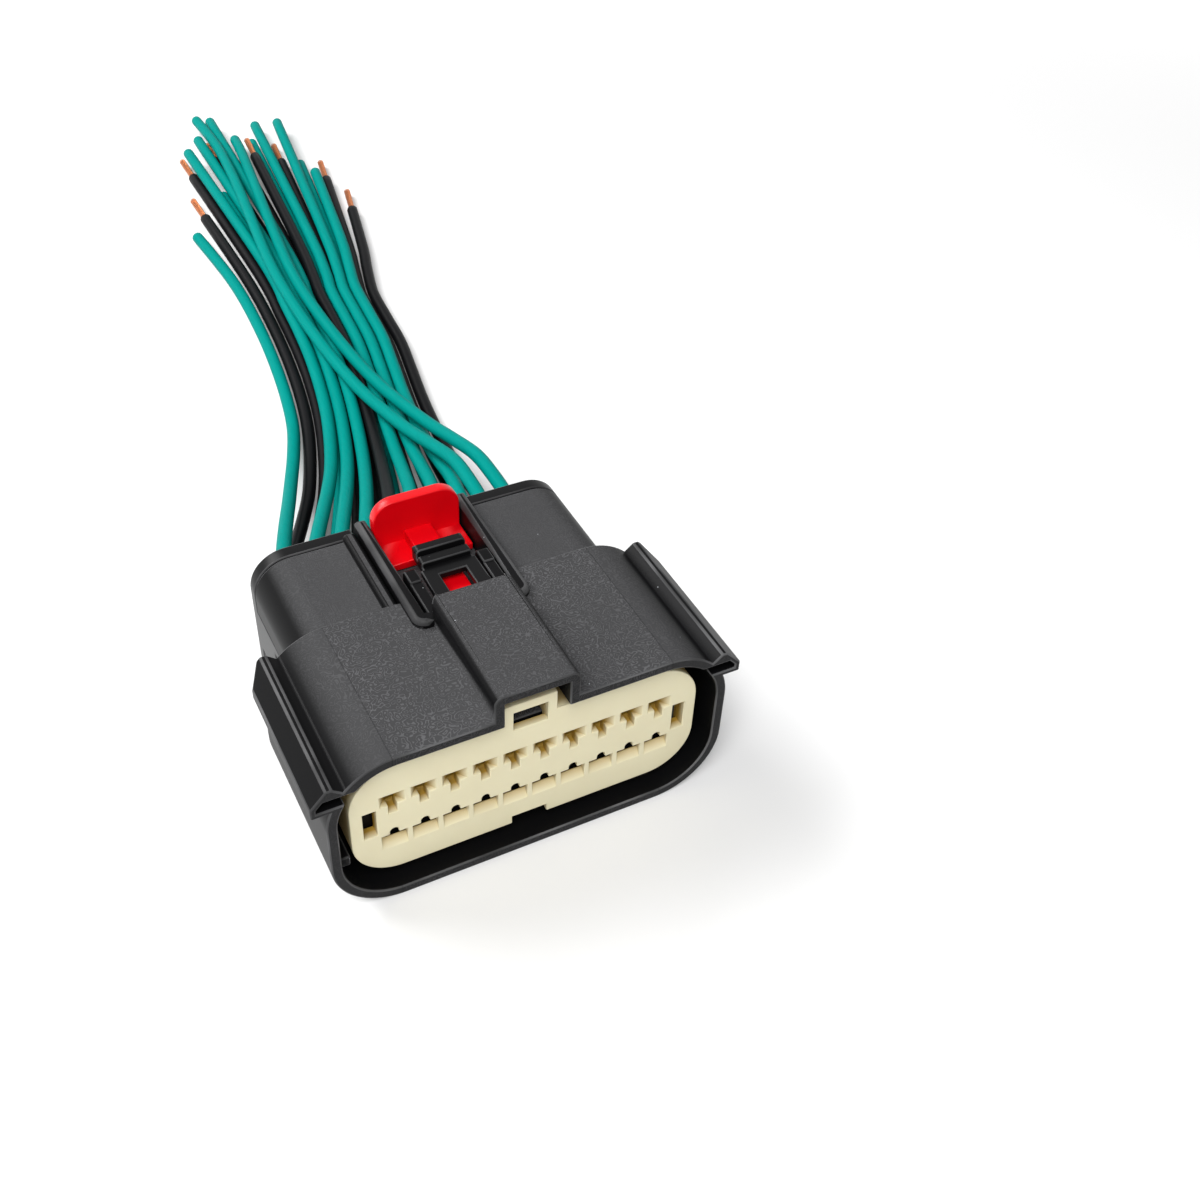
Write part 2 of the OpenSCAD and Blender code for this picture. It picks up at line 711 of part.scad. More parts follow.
// The rear cover: a plate with a hole for each wire and two snap arms
module rear_cover() {
    window_z = arm_w / 4 + arm_play;
    color("#2b2b2d") difference() {
        union() {
            bar_y(rear_y + cover_gap, end_y, rear_w, rear_h, rear_r);
            both_sides() span_box([rear_w / 2 - arm_t, rear_y - arm_l, mid_z - arm_w / 2],
                                  [rear_w / 2, end_y - edge, mid_z + arm_w / 2]);
        }
        wire_holes(wire_r + cover_play, rear_y, end_y + edge);
        span_box([-bay_out_w / 2 - arm_play, rear_y, bay_z - arm_play],
                 [bay_out_w / 2 + arm_play, end_y + edge, skirt_h + edge]);
        both_sides() span_box([rear_w / 2 - arm_t - edge, lug_y - lug_l - arm_play, mid_z - window_z],
                              [rear_w / 2 + edge, lug_y + arm_play, mid_z + window_z]);
    }
}

// One stamped contact: the box, the strand crimp and the grip round the insulation
module terminal(i) {
    color("#c9ccd2") translate([contact_x(i), 0, contact_z(i)]) {
        difference() {
            span_box([-box_w / 2, contact_y, -box_h / 2], [box_w / 2, strand_crimp_y, box_h / 2]);
            span_box([-blade_w / 2, contact_y - edge, -blade_h / 2],
                     [blade_w / 2, strand_crimp_y - sheet_t, blade_h / 2]);
        }
        translate([0, strand_crimp_y - edge, 0]) rotate([-90, 0, 0])
            cylinder(d = strand_d + 2 * sheet_t, h = strand_crimp_l + 2 * edge);
        difference() {
            translate([0, grip_crimp_y, 0]) rotate([-90, 0, 0]) cylinder(r = grip_out_r, h = grip_crimp_l);
            translate([0, grip_crimp_y + sheet_t, 0]) rotate([-90, 0, 0])
                cylinder(r = grip_in_r, h = grip_crimp_l);
        }
    }
}

// Routes of the wires, from the rear cover to their cut ends.
// Each row: y, x of the first wire, spacing, height of the upper row, height of the lower row
lay = [
    [36, -9.5, 3, 9.6, 4.2],
    [50, -2.9, 2.4, 5.2, 1.6],
    [66, 2.4, 2.05, 3, 1],
    [82, 5.2, 2.05, 2.9, 1],
    [98, 6.6, 2.05, 2.9, 1],
    [112, 7, 2.4, 2.7, 1]
];
// Cut ends of the upper wires, then of the lower wires
ends = [
    [3.4, 128, 1], [10.2, 157, 2.6], [13.5, 162, 2.4], [18.1, 170, 2], [21.4, 151, 2.6],
    [26, 166, 1.6], [30, 164, 2.4], [30.2, 142, 1.9], [15.7, 171, 2.2], [20.2, 160, 2.2],
    [6.6, 134, 1], [9, 150, 1], [12, 141, 1], [15, 155, 1], [18.8, 146, 1],
    [23.4, 160, 1], [26.1, 150, 1], [29.2, 148, 1], [31.6, 140, 1], [32, 127, 1]
];
// The outer wire that lies on the surface and the two that cross over the others:
// place in the upper row, then y, x and height along the way
loose = [
    [0, [[36, -10, 9.6], [50, -5.2, 4.4], [66, 0.2, 1.5], [82, 3, 1.1], [98, 4.4, 1], [112, 4.6, 1]]],
    [8, [[36, 13.6, 12.1], [50, 12.7, 7.9], [66, 11, 5.4], [82, 10, 5], [98, 10, 5],
         [112, 11, 4.8], [134, 13.6, 4.6], [155, 15.6, 3.4]]],
    [9, [[36, 16.8, 12.1], [50, 15.9, 8], [66, 14, 5.5], [82, 12.8, 5], [98, 12.6, 5],
         [112, 13.8, 4.9], [134, 16.6, 4.6], [151, 19, 3.6]]]
];
clear_run = 6;
wire_sag = 0.3;
wire_lean = 0.3;
strand_l = 7;
wire_start_y = grip_crimp_y + sheet_t;
function own_way(i) = [for (c = loose) if (c[0] == i) c[1]];
function lay_point(i, row) =
    let (upper = i < ways, j = i % ways)
    [row[1] + row[2] * (j + (upper ? 0.5 : 0)), row[0], upper ? row[3] : row[4]];
function middle(i) = len(own_way(i)) > 0
    ? [for (p = own_way(i)[0]) [p[1], p[0], p[2]]]
    : [for (row = lay) lay_point(i, row)];
function route(i) = let (x = contact_x(i), z = contact_z(i), way = middle(i)) concat(
    [[x, wire_start_y, z], [x, end_y, z],
     [x + wire_lean * (way[0][0] - x), end_y + clear_run, z - wire_sag]],
    way, [ends[i]]);

// A smooth curve through the route's points, and a tube of rings along it
steps = 2;
sides = 8;
function at(p, k) = p[max(0, min(len(p) - 1, k))];
function curve_point(p, k, t) =
    let (a = at(p, k - 1), b = at(p, k), c = at(p, k + 1), d = at(p, k + 2))
    0.5 * (2 * b + (c - a) * t + (2 * a - 5 * b + 4 * c - d) * t * t + (3 * b - a - 3 * c + d) * t * t * t);
function smooth(p) = concat(
    [p[0], p[1]],
    [for (k = [1 : len(p) - 2], s = [1 : steps]) curve_point(p, k, s / steps)]);
function unit(v) = v / norm(v);
function heading(p, k) = unit(at(p, k + 1) - at(p, k - 1));
function ring(c, dir, r) =
    let (side = unit(cross(dir, [0, 0, 1])), up = cross(side, dir))
    [for (s = [0 : sides - 1]) c + r * (cos(360 * s / sides) * side + sin(360 * s / sides) * up)];

module tube(p, r) {
    n = len(p);
    points = [for (k = [0 : n - 1]) each ring(p[k], heading(p, k), r)];
    walls = [for (k = [0 : n - 2], s = [0 : sides - 1])
        let (a = k * sides + s, b = k * sides + (s + 1) % sides) [a, b, b + sides, a + sides]];
    front = [for (s = [0 : sides - 1]) sides - 1 - s];
    back = [for (s = [0 : sides - 1]) (n - 1) * sides + s];
    polyhedron(points, concat([front, back], walls));
}

upper_black = [4];
lower_green = [12, 15, 17];
function is_green(i) = i < ways ? len(search(i, upper_black)) == 0 : len(search(i, lower_green)) > 0;

// One insulated wire, from its contact to its cut end
module wire(i) {
    color(is_green(i) ? "#00a88f" : "#1c1c1e") tube(smooth(route(i)), wire_r);
}

// The stripped strands at the end of each black wire
module bare_strands() {
    color("#b5713f") for (i = [0 : circuits - 1]) if (!is_green(i)) {
        p = smooth(route(i));
        dir = heading(p, len(p) - 1);
        turn = atan2(dir[1], dir[0]);
        translate(p[len(p) - 1]) rotate([0, acos(dir[2]), turn]) cylinder(d = strand_d, h = strand_l);
    }
}

housing();
latch_lever();
terminal_retainer();
lock_slider();
ring_seal();
wire_seal();
rear_cover();
bare_strands();
for (i = [0 : circuits - 1]) {
    terminal(i);
    wire(i);
}
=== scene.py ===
"""Looks of a sealed two-row connector with its cut wires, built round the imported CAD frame."""

import logging
import math
from dataclasses import dataclass, field
from enum import Enum
from typing import Iterable

import bmesh
import bpy
from bmesh.types import BMEdge, BMesh
from bpy.types import ID, Material, Mesh, Node, NodeSocket, NodeTree, Object
from mathutils import Matrix, Vector


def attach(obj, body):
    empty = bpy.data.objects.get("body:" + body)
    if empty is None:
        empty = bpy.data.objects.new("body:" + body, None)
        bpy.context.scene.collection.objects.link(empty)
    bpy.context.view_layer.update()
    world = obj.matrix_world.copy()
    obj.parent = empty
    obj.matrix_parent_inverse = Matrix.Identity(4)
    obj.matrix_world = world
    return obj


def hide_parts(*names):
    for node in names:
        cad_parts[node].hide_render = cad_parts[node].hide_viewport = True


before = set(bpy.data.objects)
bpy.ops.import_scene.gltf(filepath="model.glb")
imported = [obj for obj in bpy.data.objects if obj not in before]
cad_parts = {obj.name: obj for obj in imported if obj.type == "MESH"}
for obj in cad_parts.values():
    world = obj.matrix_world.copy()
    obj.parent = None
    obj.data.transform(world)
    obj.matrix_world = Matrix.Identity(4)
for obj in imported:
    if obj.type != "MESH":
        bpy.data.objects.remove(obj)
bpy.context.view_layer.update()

Pair = tuple[float, float]
Triple = tuple[float, float, float]

MM = 0.001
WHITE = (1.0, 1.0, 1.0, 1.0)
log = logging.getLogger("connector")

# Node settings that many trees share.
RGBA = {"data_type": "RGBA"}
TIMES = {"operation": "MULTIPLY"}
LARGER = {"operation": "MAXIMUM"}
BELOW = {"operation": "LESS_THAN"}
EASED = {"interpolation_type": "SMOOTHSTEP"}


class Body(Enum):
    """The CAD bodies that pieces ride on."""

    HOUSING = "housing"
    RETAINER = "retainer"
    SLIDER = "slider"
    LATCH = "latch"


class Insulation(Enum):
    """The two colours of wire in the bundle."""

    GREEN = "wire_green"
    BLACK = "wire_black"


def linear(hex_colour: str) -> tuple[float, float, float, float]:
    """Turns an sRGB hex colour to linear, by the standard's own curve.

    Args:
        hex_colour: Six hex digits, with or without a leading mark.

    Returns:
        Red, green, blue and alpha, linear.
    """
    digits = hex_colour.lstrip("#")
    parts = [int(digits[k:k + 2], 16) / 255 for k in (0, 2, 4)]
    red, green, blue = [c / 12.92 if c <= 0.04045 else ((c + 0.055) / 1.055) ** 2.4 for c in parts]
    return red, green, blue, 1.0


def per_metre(size_mm: float) -> float:
    """Gives a texture scale whose features are about one size in millimetres."""
    return 1 / (size_mm * MM)


def add_node(tree: NodeTree, kind: str, settings: dict[str, str | bool] | None = None,
             **inputs: object) -> Node:
    """Adds a node with its settings and links.

    Args:
        tree: The tree that the node goes into.
        kind: Blender's name for the kind of node.
        settings: The node's own properties.
        inputs: Socket names, with _ for a space, or i and a number for a place, each with a value
            or an output socket to link from.

    Returns:
        The new node.
    """
    node = tree.nodes.new(kind)
    for key, value in (settings or {}).items():
        setattr(node, key, value)
    for key, value in inputs.items():
        by_place = key[0] == "i" and key[1:].isdigit()
        socket = node.inputs[int(key[1:]) if by_place else key.replace("_", " ")]
        if isinstance(value, NodeSocket):
            tree.links.new(value, socket)
        else:
            socket.default_value = value
    return node


@dataclass(frozen=True)
class Finish:
    """A moulded, extruded or drawn surface, with the settings that every finish has."""

    name: str
    colour: str
    roughness: float
    ior: float = 1.5
    sheen: float = 0.5

    def start(self) -> tuple[Material, NodeTree, Node, NodeSocket]:
        """Makes a material with its plain numbers set.

        Returns:
            The material, its node tree, its shader and the place on the piece that patterns read.
        """
        material = bpy.data.materials.new(self.name)
        material.use_nodes = True
        material.diffuse_color = linear(self.colour)
        tree = material.node_tree
        shader = tree.nodes["Principled BSDF"]
        shader.inputs["Base Color"].default_value = linear(self.colour)
        shader.inputs["Roughness"].default_value = self.roughness
        shader.inputs["IOR"].default_value = self.ior
        shader.inputs["Specular IOR Level"].default_value = self.sheen
        where = add_node(tree, "ShaderNodeTexCoord").outputs["Object"]
        return material, tree, shader, where

    def blend(self, tree: NodeTree, shader: Node, pattern: NodeSocket, share: float,
              second: str) -> None:
        """Blends a second colour in where a pattern is strong.

        Args:
            tree: The material's node tree.
            shader: Its shader.
            pattern: The pattern, from 0 to 1.
            share: How much of the second colour shows where the pattern is 1.
            second: The second colour.
        """
        part = add_node(tree, "ShaderNodeMapRange", Value=pattern, To_Max=share).outputs[0]
        colour = add_node(tree, "ShaderNodeMix", RGBA, Factor=part, i6=linear(self.colour),
                          i7=linear(second))
        tree.links.new(colour.outputs[2], shader.inputs["Base Color"])

    def material(self) -> Material:
        """Builds the material, which is plain unless a kind of finish adds to it."""
        return self.start()[0]


@dataclass(frozen=True)
class SparkErodedPbt(Finish):
    """Black PBT from a spark-eroded mould.

    The walls are dark, the edges carry a painted highlight, and the tops are greyer, partly from
    the eroded texture and partly from a painted top sheen, with worm-like ridges and a few specks
    of dust.
    """

    # Colour of the tops: the eroded texture's grey with a painted top sheen in it.
    eroded_and_sheen: str = "#3d3d3e"
    worm: str = "#5e5e60"
    worm_mm: float = 0.62
    worm_turns: float = 4.6
    worm_crest: Pair = (0.1, 0.95)
    speck: str = "#a5a8ac"
    speck_mm: float = 3.0
    speck_share: float = 0.025
    speck_core: float = 0.6
    blotch_mm: float = 9.0
    blotch_detail: float = 2.0
    bump_mm: float = 0.04
    bump_strength: float = 0.8
    # Painted highlight on the rounded edges, uneven in broad patches.
    edge_highlight: str = "#5e5e5f"
    highlight_share: Pair = (0.35, 1.0)
    highlight_patches: Pair = (0.35, 0.6)
    rough_shift: Pair = (-0.1, 0.08)
    skirt_rear_mm: float = 2.7
    rear_share: float = 0.42
    seam_mm: float = 15.9
    seam_width_mm: float = 0.07
    seam_share: float = 0.35

    def ridges(self, tree: NodeTree, where: NodeSocket, grain_and_sheen: NodeSocket, out: NodeSocket,
               skirt: NodeSocket) -> NodeSocket:
        """Adds the ridges, full on the skirt between its parting lines and faint elsewhere.

        Args:
            tree: The material's node tree.
            where: The place on the piece.
            grain_and_sheen: The share of eroded texture and of painted top sheen there.
            out: The distance from the middle plane.
            skirt: 1 on the skirt and 0 behind it.

        Returns:
            The height of the ridges, from 0 to 1.
        """
        noise = add_node(tree, "ShaderNodeTexNoise", Vector=where, Scale=per_metre(self.worm_mm),
                         Detail=0.0)
        angle = add_node(tree, "ShaderNodeMath", TIMES, i0=noise.outputs["Fac"],
                         i1=self.worm_turns * math.tau)
        wave = add_node(tree, "ShaderNodeMath", {"operation": "SINE"}, i0=angle.outputs[0])
        ridge = add_node(tree, "ShaderNodeMapRange", EASED, Value=wave.outputs[0],
                         From_Min=self.worm_crest[0], From_Max=self.worm_crest[1])
        inner = add_node(tree, "ShaderNodeMath", BELOW, i0=out, i1=self.seam_mm * MM)
        coarse = add_node(tree, "ShaderNodeMath", TIMES, i0=skirt, i1=inner.outputs[0])
        share = add_node(tree, "ShaderNodeMapRange", Value=coarse.outputs[0],
                         To_Min=self.rear_share, To_Max=1.0)
        depth = add_node(tree, "ShaderNodeMath", TIMES, i0=grain_and_sheen, i1=share.outputs[0])
        return add_node(tree, "ShaderNodeMath", TIMES, i0=ridge.outputs[0],
                        i1=depth.outputs[0]).outputs[0]

    def ground(self, tree: NodeTree, grain_and_sheen: NodeSocket, worms: NodeSocket,
               blotch: NodeSocket) -> NodeSocket:
        """Adds the colours of the walls, the painted edge highlights and the greyer tops, whose
        grey is partly eroded texture and partly painted top sheen.

        Args:
            tree: The material's node tree.
            grain_and_sheen: The share of eroded texture and of painted top sheen there.
            worms: The height of the ridges.
            blotch: A broad, soft pattern that keeps the painted edge highlights and the ridges
                uneven.

        Returns:
            The colour.
        """
        # Painted highlight on the rounded edges, stronger in some patches than others.
        edge = add_node(tree, "ShaderNodeAttribute", {"attribute_name": "edge_highlight"}).outputs["Fac"]
        patchy = add_node(tree, "ShaderNodeMapRange", Value=blotch,
                          From_Min=self.highlight_patches[0], From_Max=self.highlight_patches[1],
                          To_Min=self.highlight_share[0], To_Max=self.highlight_share[1])
        edge_highlight = add_node(tree, "ShaderNodeMath", TIMES, i0=edge, i1=patchy.outputs[0])
        wall = add_node(tree, "ShaderNodeMix", RGBA, Factor=edge_highlight.outputs[0],
                        i6=linear(self.colour), i7=linear(self.edge_highlight))
        # The tops are greyer where they look up: eroded texture and a painted top sheen.
        matt = add_node(tree, "ShaderNodeMix", RGBA, Factor=grain_and_sheen, i6=wall.outputs[2],
                        i7=linear(self.eroded_and_sheen))
        crests = add_node(tree, "ShaderNodeMath", TIMES, i0=worms, i1=blotch)
        return add_node(tree, "ShaderNodeMix", RGBA, Factor=crests.outputs[0], i6=matt.outputs[2],
                        i7=linear(self.worm)).outputs[2]

    def material(self) -> Material:
        """Builds the material.

        Returns:
            The moulded black plastic.
        """
        material, tree, shader, where = self.start()
        # Share of eroded texture and painted top sheen, which grows as a face looks up.
        grain_and_sheen = add_node(tree, "ShaderNodeAttribute", {"attribute_name": "grain_and_sheen"}).outputs["Fac"]
        parts = add_node(tree, "ShaderNodeSeparateXYZ", Vector=where).outputs
        out = add_node(tree, "ShaderNodeMath", {"operation": "ABSOLUTE"}, i0=parts["X"]).outputs[0]
        skirt = add_node(tree, "ShaderNodeMath", BELOW, i0=parts["Y"],
                         i1=self.skirt_rear_mm * MM).outputs[0]
        worms = self.ridges(tree, where, grain_and_sheen, out, skirt)
        blotch = add_node(tree, "ShaderNodeTexNoise", Vector=where,
                          Scale=per_metre(self.blotch_mm), Detail=self.blotch_detail)
        ground = self.ground(tree, grain_and_sheen, worms, blotch.outputs["Fac"])
        cells = add_node(tree, "ShaderNodeTexVoronoi", Vector=where, Scale=per_metre(self.speck_mm))
        speck = add_node(tree, "ShaderNodeMapRange", Value=cells.outputs["Distance"],
                         From_Min=self.speck_share, From_Max=self.speck_share * self.speck_core)
        dusty = add_node(tree, "ShaderNodeMix", RGBA, Factor=speck.outputs[0], i6=ground,
                         i7=linear(self.speck))
        beside = add_node(tree, "ShaderNodeMath", {"operation": "COMPARE"}, i0=out,
                          i1=self.seam_mm * MM, i2=self.seam_width_mm * MM)
        line = add_node(tree, "ShaderNodeMath", TIMES, i0=beside.outputs[0], i1=skirt)
        seam = add_node(tree, "ShaderNodeMath", TIMES, i0=line.outputs[0], i1=self.seam_share)
        colour = add_node(tree, "ShaderNodeMix", RGBA, Factor=seam.outputs[0], i6=dusty.outputs[2],
                          i7=linear(self.colour))
        tree.links.new(colour.outputs[2], shader.inputs["Base Color"])
        smoother, rougher = self.rough_shift
        rough = add_node(tree, "ShaderNodeMapRange", Value=grain_and_sheen, To_Min=self.roughness + smoother,
                         To_Max=self.roughness + rougher)
        tree.links.new(rough.outputs[0], shader.inputs["Roughness"])
        bump = add_node(tree, "ShaderNodeBump", Height=worms, Distance=self.bump_mm * MM,
                        Strength=self.bump_strength)
        tree.links.new(bump.outputs[0], shader.inputs["Normal"])
        return material


@dataclass(frozen=True)
class SatinPbt(Finish):
    """Natural cream PBT from a polished mould: light soaks in, and deep pockets get painted amber
    shade.
    """

    # Painted shade: amber deepens with the depth behind the face.
    amber: str = "#9c7c30"
    face_mm: float = -16.4
    skin_mm: float = 0.02
    pocket_mm: float = 1.1
    mottle_mm: float = 4.0
    mottle_detail: float = 3.0
    mottle_share: float = 0.12
    glow: float = 0.06
    soak_mm: float = 0.8
    soak_reach: Triple = (1.0, 0.7, 0.35)

    def material(self) -> Material:
        """Builds the material.

        Returns:
            The moulded cream plastic.
        """
        material, tree, shader, where = self.start()
        parts = add_node(tree, "ShaderNodeSeparateXYZ", Vector=where)
        # Painted amber shade, deeper behind the face and fullest in the openings, plus a random
        # mottle.
        depth = add_node(tree, "ShaderNodeMapRange", Value=parts.outputs["Y"],
                         From_Min=(self.face_mm + self.skin_mm) * MM,
                         From_Max=(self.face_mm + self.pocket_mm) * MM)
        inside = add_node(tree, "ShaderNodeAttribute", {"attribute_name": "pocket"}).outputs["Fac"]
        share = add_node(tree, "ShaderNodeMath", TIMES, i0=depth.outputs[0], i1=inside)
        mottle = add_node(tree, "ShaderNodeTexNoise", Vector=where,
                          Scale=per_metre(self.mottle_mm), Detail=self.mottle_detail)
        fade = add_node(tree, "ShaderNodeMapRange", Value=mottle.outputs["Fac"],
                        To_Max=self.mottle_share)
        warm = add_node(tree, "ShaderNodeMath", {"operation": "ADD", "use_clamp": True},
                        i0=share.outputs[0], i1=fade.outputs[0])
        colour = add_node(tree, "ShaderNodeMix", RGBA, Factor=warm.outputs[0],
                          i6=linear(self.colour), i7=linear(self.amber))
        tree.links.new(colour.outputs[2], shader.inputs["Base Color"])
        shader.inputs["Subsurface Weight"].default_value = self.glow
        shader.inputs["Subsurface Radius"].default_value = self.soak_reach
        shader.inputs["Subsurface Scale"].default_value = self.soak_mm * MM
        return material


@dataclass(frozen=True)
class GlossPbt(Finish):
    """Red PBT from a polished mould: even colour with a clear shine and faint flow marks."""

    flow_mm: float = 3.0
    flow_detail: float = 2.0
    flow_share: float = 0.3
    shade: str = "#a8000c"

    def material(self) -> Material:
        """Builds the material.

        Returns:
            The moulded red plastic.
        """
        material, tree, shader, where = self.start()
        flow = add_node(tree, "ShaderNodeTexNoise", Vector=where, Scale=per_metre(self.flow_mm),
                        Detail=self.flow_detail)
        self.blend(tree, shader, flow.outputs["Fac"], self.flow_share, self.shade)
        return material


@dataclass(frozen=True)
class MouldedSilicone(Finish):
    """Oily silicone of the seals: dull, with a fine dusty mottle."""

    dust: str = "#6f7fa6"
    dust_mm: float = 0.8
    dust_detail: float = 4.0
    dust_share: float = 0.3

    def material(self) -> Material:
        """Builds the material.

        Returns:
            The seal rubber.
        """
        material, tree, shader, where = self.start()
        dust = add_node(tree, "ShaderNodeTexNoise", Vector=where, Scale=per_metre(self.dust_mm),
                        Detail=self.dust_detail)
        self.blend(tree, shader, dust.outputs["Fac"], self.dust_share, self.dust)
        return material


@dataclass(frozen=True)
class DrawnMetal(Finish):
    """Tinned bronze strip or bare copper strand: bright metal with fine draw lines along Y."""

    dull: str = "#8d8f93"
    dull_share: float = 0.6
    # Real draw lines are finer. These are as coarse as they need to be to show.
    line_mm: float = 0.12
    line_detail: float = 2.0
    stretch: float = 12.0

    def material(self) -> Material:
        """Builds the material.

        Returns:
            The metal.
        """
        material, tree, shader, where = self.start()
        shader.inputs["Metallic"].default_value = 1.0
        across = per_metre(self.line_mm)
        stretched = add_node(tree, "ShaderNodeMapping", Vector=where,
                             Scale=(across, across / self.stretch, across))
        lines = add_node(tree, "ShaderNodeTexNoise", Vector=stretched.outputs[0], Scale=1.0,
                         Detail=self.line_detail)
        self.blend(tree, shader, lines.outputs["Fac"], self.dull_share, self.dull)
        return material


@dataclass(frozen=True)
class ExtrudedPvc(Finish):
    """Wire insulation drawn through a die: satin, with faint streaks along the wire."""

    streak: str = "#006c65"
    streak_share: float = 0.5
    # Real die streaks are finer. These are as coarse as they need to be to show.
    streak_mm: float = 0.35
    streak_detail: float = 2.0
    stretch: float = 25.0
    bump_mm: float = 0.008
    bump_strength: float = 0.5

    def material(self) -> Material:
        """Builds the material.

        Returns:
            The insulation.
        """
        material, tree, shader, where = self.start()
        across = per_metre(self.streak_mm)
        stretched = add_node(tree, "ShaderNodeMapping", Vector=where,
                             Scale=(across, across / self.stretch, across))
        streaks = add_node(tree, "ShaderNodeTexNoise", Vector=stretched.outputs[0], Scale=1.0,
                           Detail=self.streak_detail)
        self.blend(tree, shader, streaks.outputs["Fac"], self.streak_share, self.streak)
        bump = add_node(tree, "ShaderNodeBump", Height=streaks.outputs["Fac"],
                        Distance=self.bump_mm * MM, Strength=self.bump_strength)
        tree.links.new(bump.outputs[0], shader.inputs["Normal"])
        return material


def place_object(name: str, data: ID) -> Object:
    """Puts a mesh, curve, lamp or camera into the scene at the origin.

    Args:
        name: The object's name.
        data: What it shows.

    Returns:
        The new object.
    """
    piece = bpy.data.objects.new(name, data)
    bpy.context.scene.collection.objects.link(piece)
    return piece


def applied(piece: Object) -> None:
    """Turns a piece's modifiers into its plain mesh.

    Args:
        piece: The piece, whose modifiers are all used up.
    """
    graph = bpy.context.evaluated_depsgraph_get()
    mesh = bpy.data.meshes.new_from_object(piece.evaluated_get(graph))
    piece.modifiers.clear()
    piece.data = mesh


def dressed(piece: Object, material: Material) -> Object:
    """Gives a piece its one material.

    Args:
        piece: The piece.
        material: Its material.

    Returns:
        The same piece.
    """
    piece.data.materials.clear()
    piece.data.materials.append(material)
    return piece


@dataclass
class MouldedPart:
    """A CAD solid taken over with the small round edges that a mould leaves."""

    node: str
    body: Body
    slot: str
    finish: Finish
    edge_mm: float = 0.18
    wide_mm: float = 0.62
    # Strength of the painted highlight on the wide rounds; the small rounds get full strength.
    wide_highlight: float = 0.6
    sharp_deg: float = 32.0
    crease_deg: float = 40.0
    flat_deg: float = 1.0
    weld_mm: float = 0.02
    steps: int = 2
    round_profile: float = 0.5

    def rounds(self, edge: BMEdge) -> bool:
        """Says whether an edge is rounded. On a plain part every sharp one is."""
        return True

    def widely(self, edge: BMEdge) -> bool:
        """Says whether an edge gets the wide radius. On a plain part none does."""
        return False

    def mark(self, mesh: Mesh) -> None:
        """Writes the attributes that the finish reads. A plain part has no more of them."""

    def soften(self, shell: BMesh, wide: bool) -> int:
        """Rounds the sharp edges that take the small radius, or those that take the wide one.

        Args:
            shell: The part's faces.
            wide: Whether the wide radius is meant.

        Returns:
            How many edges were rounded.
        """
        limit = math.radians(self.sharp_deg)
        sharp = [e for e in shell.edges if e.is_manifold and e.calc_face_angle() > limit
                 and e.is_convex and self.rounds(e) and self.widely(e) == wide]
        radius = self.wide_mm if wide else self.edge_mm
        bands = bmesh.ops.bevel(shell, geom=sharp, offset=radius * MM, offset_type="OFFSET",
                                segments=self.steps + wide, profile=self.round_profile,
                                affect="EDGES", clamp_overlap=False, loop_slide=True)["faces"]
        # The new rounded bands get a painted highlight, fainter on the wide rounds.
        edge_highlight = shell.faces.layers.float["edge_highlight"]
        for face in bands:
            face[edge_highlight] = self.wide_highlight if wide else 1.0
        return len(sharp)

    def build(self) -> Object:
        """Returns:
            The finished piece.
        """
        shell = bmesh.new()
        # Layer for the painted highlight on the rounded edges.
        shell.faces.layers.float.new("edge_highlight")
        shell.from_mesh(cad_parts[self.node].data)
        weld = self.weld_mm * MM
        bmesh.ops.remove_doubles(shell, verts=shell.verts, dist=weld)
        bmesh.ops.dissolve_degenerate(shell, edges=shell.edges, dist=weld / 2)
        bmesh.ops.dissolve_limit(shell, angle_limit=math.radians(self.flat_deg), verts=shell.verts,
                                 edges=shell.edges)
        rounded = self.soften(shell, wide=True) + self.soften(shell, wide=False)
        mesh = bpy.data.meshes.new(self.node + "_shell")
        shell.to_mesh(mesh)
        shell.free()
        mesh.shade_smooth()
        mesh.set_sharp_from_angle(angle=math.radians(self.crease_deg))
        piece = place_object(self.node + "_moulded", mesh)
        piece.modifiers.new("flat_faces", "WEIGHTED_NORMAL").keep_sharp = True
        applied(piece)
        self.mark(piece.data)
        dressed(piece, self.finish.material())
        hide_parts(self.node)
        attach(piece, self.body.value)
        log.info("%s: %d edges rounded, %d faces", piece.name, rounded, len(piece.data.polygons))
        return piece


